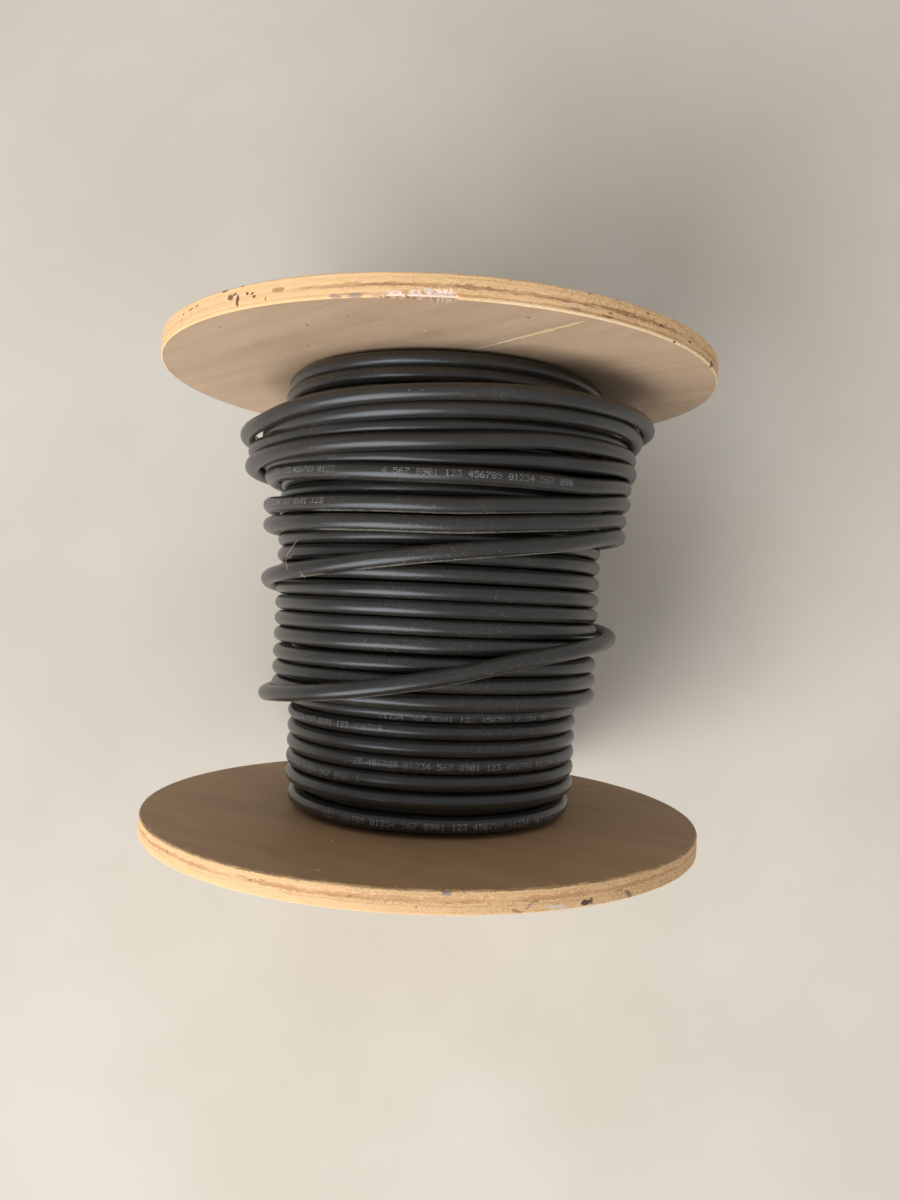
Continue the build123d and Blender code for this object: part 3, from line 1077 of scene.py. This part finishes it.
def turned(name, section, sides=48):
    """A closed solid turned round the Y axis from (radius, y) points."""
    shape = bmesh.new()
    rings = []
    turns = [2 * math.pi * i / sides for i in range(sides)]
    for radius, y in section:
        spots = [(radius * math.cos(t), y, radius * math.sin(t)) for t in turns] if radius else [(0, y, 0)]
        rings.append([shape.verts.new(spot) for spot in spots])
    if section[0][0] > 0:
        rings.append(rings[0])
    for first, second in zip(rings, rings[1:]):
        for i in range(sides):
            j = (i + 1) % sides
            corners = ((first, i), (first, j), (second, j), (second, i))
            shape.faces.new(list(dict.fromkeys(ring[k % len(ring)] for ring, k in corners)))
    mesh = bpy.data.meshes.new(name)
    close_shape(shape, mesh)
    mesh.polygons.foreach_set("use_smooth", [True] * len(mesh.polygons))
    mesh.set_sharp_from_angle(angle=math.radians(35))
    return new_object(name, mesh)


def cut_away(piece, cutters):
    """Takes the cutters' space out of a piece, in one Boolean, and throws them away.

    Cutters of one call must not meet each other, or the Boolean empties the piece.
    """
    joined = bmesh.new()
    for cutter in cutters:
        joined.from_mesh(cutter.data)
    tool = new_object("cutters", bpy.data.meshes.new("cutters"))
    joined.to_mesh(tool.data)
    joined.free()
    for material in cutters[0].data.materials:
        tool.data.materials.append(material)
    cut = piece.modifiers.new("cut", "BOOLEAN")
    cut.operation = "DIFFERENCE"
    cut.solver = "EXACT"
    cut.object = tool
    cut.material_mode = "TRANSFER"
    keep_result(piece, cut)
    for used in (*cutters, tool):
        bpy.data.meshes.remove(used.data)


def stepped_drill(place, radius, low, high, recess_radius=0.0, seat=0.0):
    """A round cutter along the axle, with a wider part from seat to high if it has a recess."""
    wide = [(radius, high)]
    if recess_radius:
        wide = [(radius, seat), (recess_radius, seat), (recess_radius, high)]
    cutter = turned("drill", [(0, low), (radius, low), *wide, (0, high)], 64)
    cutter.data.transform(Matrix.Translation((place[0], 0, place[1])))
    cutter.data.materials.append(sawn_wood)
    return cutter


# %% The two flanges
RECESS_MARGIN = 0.5 * MM
HOLE_CLEARANCE = 0.3 * MM
START_HOLE_RADIUS = 5.5 * MM
START_HOLE_GAP = 1.0 * MM
CUT_OVERRUN = 1.0 * MM
NUT_PLATE = 1.5 * MM
washer_low, washer_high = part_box("washer_1")
nut_low, nut_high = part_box("tee_nut_1")
washer_radius = (washer_high.x - washer_low.x) / 2
nut_radius = (nut_high.x - nut_low.x) / 2
barrel_radius = 4.175 * MM
shank_radius = 3.175 * MM
start_hole_z = axle_height - (tube_radius + GROOVE_CLEARANCE + START_HOLE_GAP + START_HOLE_RADIUS)

# Each tear: first and last angle in degrees, and its reach from the corner
upper_chips = [(-8.6, -4.8, 1.7 * MM), (-4.6, -1.2, 3.1 * MM), (-1.6, 3.6, 3.4 * MM)]
lower_chips = [(4.6, 7.2, 0.9 * MM)]
# Each flange: side, CAD node, materials, glue lines, tears, and the radius of
# its recesses, their seat along the axle and the radius of the bolt holes.
flange_kinds = {
    "flange_upper_ply": (
        1, "flange_upper", [upper_veneer, outer_veneer, upper_rim, sawn_wood], upper_glue, upper_chips,
        washer_radius + RECESS_MARGIN, washer_low.y, shank_radius + HOLE_CLEARANCE),
    "flange_lower_ply": (
        -1, "flange_lower", [lower_veneer, outer_veneer, lower_rim, sawn_wood], lower_glue, lower_chips,
        nut_radius + RECESS_MARGIN, nut_low.y + NUT_PLATE, barrel_radius + HOLE_CLEARANCE),
}
for name, (side, node, woods, glue, chips, recess, seat, shank) in flange_kinds.items():
    piece = turn_flange(name, side, woods, glue, chips, 1.7 * side + 4.0)
    inside = side * (inner_face - CUT_OVERRUN)
    outside = side * (outer_face + CUT_OVERRUN)
    drills = [stepped_drill((0.0, start_hole_z), START_HOLE_RADIUS, inside, outside)]
    drills += [stepped_drill(centre, shank, inside, outside, recess, seat) for centre in bolt_centres()]
    cut_away(piece, drills)
    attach(piece, BODY)
    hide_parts(node)
    print(name, len(piece.data.polygons), "faces")


# %% [markdown]
# The saw left a thin fringe of wood fibres along the inner edge of each disc.
# Points stand along both edges, each with a direction and a length, and
# Geometry Nodes set one pointed fibre on every point. The spread comes from a
# fixed seed, so the fringe is always the same.

# %% The fringe of fibres
def fibre_tree():
    """A pointed fibre on every point, turned to its direction and scaled to its length."""
    tree, given = new_tree("edge_fibres", {"Fibre width": "Float", "Finish": "Material"})
    facing, turn = point_direction(tree)
    radius = given["Fibre width"] / 2.0
    sizes = {"Vertices": 4, "Radius Bottom": radius, "Radius Top": radius / 4.0, "Depth": 1.0}
    fibre = made("GeometryNodeMeshCone", sizes)
    scale = combined(1.0, 1.0, facing.length())
    end_tree(set_on_points(given["Geometry"], fibre, Rotation=turn, Scale=scale), given["Finish"])
    return tree


FIBRE_COUNT = 420
FIBRE_WIDTH = 0.11
spread = np.random.default_rng(7)
fibre_wood = plain_material("fibre_wood", colour(214, 182, 138), 0.8)
edge_fibres = fibre_tree()
for name, side in (("upper_fibres", 1), ("lower_fibres", -1)):
    turned_by = spread.uniform(-90, 90, FIBRE_COUNT)
    radius = rim_radius / MM - spread.uniform(0.5, 0.9, FIBRE_COUNT)
    roots = round_axle(turned_by, side * inner_face / MM, radius)
    length = spread.gamma(2.0, 0.28, FIBRE_COUNT).clip(0.2, 2.0) * MM
    sway = spread.normal(0, 0.6, (FIBRE_COUNT, 3))
    sway[:, 1] = -side * (0.45 + np.abs(sway[:, 1]))
    inwards = -outwards(np.radians(turned_by))
    sway += inwards * np.maximum(0.0, -(sway * inwards).sum(axis=1))[:, None]
    piece = with_facing(name, roots, along_unit(sway) * length[:, None])
    baked(piece, edge_fibres, {"Fibre width": FIBRE_WIDTH * MM, "Finish": fibre_wood})
    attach(piece, BODY)
    print(name, len(piece.data.polygons), "faces")

# %% [markdown]
# The core is a tube of grey-brown board, wound from a strip, so its seam runs
# round it as a spiral. Only the ends of the arbor holes show it. Its CAD
# solid is right as it is and only takes a material.

# %% The paper tube
STRIP_WIDTH = 110 * MM


def make_board():
    """Spiral-wound board: kraft brown, fibres along the strip, a seam every turn."""
    material, tree, shader = new_material("kraft_board")
    x, y, z = axle_place(tree).parts()
    strip = y / STRIP_WIDTH + x.maths("ARCTAN2", z) / (2 * math.pi)
    seam = abs(strip.maths("FRACT") - 0.5).step(0.49, 0.498)
    fibres = object_place(tree).speckle((300, 1500, 300), 4.0, 0.7)
    base = between(fibres.step(0.3, 0.7), colour(168, 134, 98), colour(190, 158, 120))
    base = between(seam * 0.7, base, colour(110, 84, 60))
    plug(shader, {"Base Color": base, "Roughness": 0.85, "Normal": bump(fibres - seam, 0.15 * MM)})
    return material


tube_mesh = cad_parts["core_tube"].data
tube_mesh.materials.clear()
tube_mesh.materials.append(make_board())
print("made", tube_mesh.materials[0].name)


# %% [markdown]
# Three bolts clamp the discs. The heads are low and domed with a cross
# recess, over a washer, and on the other side each bolt ends in a tee nut
# let into the wood. Thin zinc plate looks grey and a little cloudy. One of
# each kind is modelled on the axle, and Geometry Nodes set three of it on
# the bolt circle, which is how a jig would drill them.

# %% Zinc plate
def make_zinc():
    """Bright zinc plate with faint clouds and fine turning marks."""
    material, tree, shader = new_material("zinc_plate")
    place = object_place(tree)
    clouds = place.speckle(240.0, 3.0)
    base = between(clouds.step(0.35, 0.65), colour(186, 184, 176), colour(206, 205, 200))
    normal = bump(place.speckle(3000.0), 0.03 * MM, 0.5)
    plug(shader, {"Base Color": base, "Roughness": clouds * 0.25 + 0.24, "Metallic": 1.0, "Normal": normal})
    return material


zinc = make_zinc()
print("made", zinc.name)


# %% A tree that sets fasteners on the bolt circle
def circle_tree():
    """Copies one fastener to each bolt axis round the axle."""
    labels = {"Count": "Int", "Circle radius": "Float", "Axle height": "Float", "Finish": "Material"}
    tree, given = new_tree("bolt_circle", labels)
    spots = made("GeometryNodeMeshCircle", {"Vertices": given["Count"], "Radius": given["Circle radius"]})
    lift = combined(0.0, 0.0, given["Axle height"])
    stand = {"Geometry": spots, "Translation": lift, "Rotation": (math.radians(90), math.radians(90), 0)}
    spots = made("GeometryNodeTransform", stand)
    end_tree(set_on_points(spots, given["Geometry"]), given["Finish"])
    return tree


bolt_circle = circle_tree()


def set_round_circle(piece, node):
    """Puts three of a piece on the bolt circle in place of their CAD nodes."""
    values = {"Count": BOLT_COUNT, "Circle radius": BOLT_CIRCLE, "Axle height": axle_height, "Finish": zinc}
    baked(piece, bolt_circle, values)
    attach(piece, BODY)
    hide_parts(*[f"{node}_{i}" for i in range(1, BOLT_COUNT + 1)])
    print(piece.name, len(piece.data.polygons), "faces")


# %% Bolts with a cross recess
THREAD_LENGTH = 24 * MM
THREAD_PITCH = 1.27 * MM
THREAD_DEPTH = 0.5 * MM
TIP_BEVEL = 0.3 * MM
HEAD_EDGE = 0.15 * MM
HEAD_BEVEL = 0.2 * MM
CROSS_LENGTH = 5.6 * MM
CROSS_WIDTH = 1.1 * MM
CROSS_DEPTH = 1.7 * MM
CROSS_TAPER = 0.55
bolt_low, bolt_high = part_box("tie_bolt_1")
head_radius = (bolt_high.x - bolt_low.x) / 2
head_seat = washer_high.y
head_height = bolt_high.y - head_seat
dome_radius = (head_radius ** 2 + head_height ** 2) / (2 * head_height)
bolt_section = [(0, bolt_high.y)]
for share in (0.2, 0.4, 0.6, 0.75, 0.88, 0.96):
    drop = dome_radius - math.sqrt(dome_radius ** 2 - (share * head_radius) ** 2)
    bolt_section.append((share * head_radius, bolt_high.y - drop))
bolt_section += [(head_radius, head_seat + HEAD_EDGE), (head_radius - HEAD_BEVEL, head_seat)]
thread_start = bolt_low.y + THREAD_LENGTH
thread_root = shank_radius - THREAD_DEPTH
bolt_section += [(shank_radius, head_seat), (shank_radius, thread_start)]
for ring in range(int(THREAD_LENGTH / THREAD_PITCH) - 1):
    y = thread_start - ring * THREAD_PITCH
    bolt_section += [(thread_root, y - 0.5 * THREAD_PITCH), (shank_radius, y - 0.9 * THREAD_PITCH)]
bolt_section += [(thread_root, bolt_low.y + TIP_BEVEL), (thread_root - THREAD_DEPTH, bolt_low.y)]
bolt_section.append((0, bolt_low.y))
bolts = turned("tie_bolt_set", bolt_section)
# The two bars of the cross meet, so each is cut by itself.
for turn in (0, 90):
    bar = bmesh.new()
    bmesh.ops.create_cube(bar, size=1.0)
    for vert in bar.verts:
        x, y, z = vert.co
        narrow = CROSS_TAPER if z < 0 else 1.0
        vert.co = (x * CROSS_LENGTH * narrow, y * CROSS_WIDTH, z * 2 * CROSS_DEPTH)
    spin = Matrix.Rotation(math.radians(-90), 4, "X") @ Matrix.Rotation(math.radians(turn), 4, "Z")
    place = Matrix.Translation((0, bolt_high.y, 0)) @ spin
    bmesh.ops.transform(bar, matrix=place, verts=bar.verts)
    cutter = new_object("cross_bar", bpy.data.meshes.new("cross_bar"))
    close_shape(bar, cutter.data)
    cut_away(bolts, [cutter])
set_round_circle(bolts, "tie_bolt")

# %% Washers and tee nuts
ROUNDED = 0.25 * MM
NUT_BEVEL = 0.5 * MM
washer_bore = shank_radius + HOLE_CLEARANCE
washer_section = [
    (washer_bore, washer_low.y + ROUNDED), (washer_bore + ROUNDED, washer_low.y),
    (washer_radius - ROUNDED, washer_low.y), (washer_radius, washer_low.y + ROUNDED),
    (washer_radius, washer_high.y - ROUNDED), (washer_radius - ROUNDED, washer_high.y),
    (washer_bore + ROUNDED, washer_high.y), (washer_bore, washer_high.y - ROUNDED),
]
set_round_circle(turned("washer_set", washer_section), "washer")

plate_top = nut_low.y + NUT_PLATE
nut_section = [
    (washer_bore, nut_high.y), (washer_bore, nut_low.y + NUT_BEVEL), (washer_bore + NUT_BEVEL, nut_low.y),
    (nut_radius - ROUNDED, nut_low.y), (nut_radius, nut_low.y + ROUNDED), (nut_radius, plate_top - ROUNDED),
    (nut_radius - ROUNDED, plate_top), (barrel_radius + ROUNDED, plate_top),
    (barrel_radius, plate_top + ROUNDED), (barrel_radius, nut_high.y),
]
set_round_circle(turned("tee_nut_set", nut_section), "tee_nut")

# %% [markdown]
# The drum lies on a plain pale floor under soft light. A large lamp low on
# the near left side lights the inner face of the upper disc and leaves the
# lower disc's inner face in shade, as in the photograph, and the sky fills
# the rest. The colours are written as they should appear, so the lamp and
# the sky are set to a level that neither burns nor dims them.

# %% The floor
BACKDROP = colour(214, 209, 200)
FLOOR_HALF = 12.0


def make_floor():
    """A wide, pale, matt floor. Far from the drum the camera sees it as the plain backdrop."""
    material, tree, shader = new_material("pale_floor")
    place = object_place(tree)
    base = between(place.speckle(6.0, 4.0).step(0.3, 0.7), colour(214, 207, 195), colour(222, 216, 206))
    plug(shader, {"Base Color": base, "Roughness": 0.9})
    backdrop = made("ShaderNodeEmission", {"Color": BACKDROP}, tree=tree)
    seen = place.length().step(0.6, 2.2) * made("ShaderNodeLightPath", {}, "Is Camera Ray", tree)
    mixed = made("ShaderNodeMixShader", {0: seen, 1: Field(tree, shader.outputs[0]), 2: backdrop})
    plug(tree.nodes["Material Output"], {"Surface": mixed})
    mesh = bpy.data.meshes.new("floor")
    corners = [(x * FLOOR_HALF, y * FLOOR_HALF, 0) for x, y in ((-1, -1), (1, -1), (1, 1), (-1, 1))]
    mesh.from_pydata(corners, [], [(0, 1, 2, 3)])
    mesh.materials.append(material)
    return new_object("floor", mesh)


floor = make_floor()
print("floor", tuple(floor.dimensions))

# %% Lamp and sky
DAYLIGHT = (1.0, 0.99, 0.975)
LAMP_DIRECTION = (-0.54, -0.71, 0.66)
LAMP_DISTANCE = 2.4
lamp = new_object("window", bpy.data.lights.new("window", "AREA"))
lamp.data.size = 2.1
lamp.data.energy = 61.5
lamp.data.color = DAYLIGHT
lamp.location = axle + Vector(LAMP_DIRECTION).normalized() * LAMP_DISTANCE
lamp.rotation_euler = (axle - lamp.location).to_track_quat("-Z", "Y").to_euler()

world = bpy.data.worlds.new("sky")
world.use_nodes = True
sky_tree = world.node_tree
sky = sky_tree.nodes["Background"]
plug(sky, {0: (*DAYLIGHT, 1.0), 1: 0.48})
pale_sky = made("ShaderNodeBackground", {"Color": BACKDROP}, tree=sky_tree)
camera_ray = made("ShaderNodeLightPath", {}, "Is Camera Ray", sky_tree)
seen_sky = made("ShaderNodeMixShader", {0: camera_ray, 1: Field(sky_tree, sky.outputs[0]), 2: pale_sky})
plug(sky_tree.nodes["World Output"], {"Surface": seen_sky})
bpy.context.scene.world = world
bpy.context.scene.view_settings.view_transform = "Standard"
print("lamp", tuple(lamp.location))
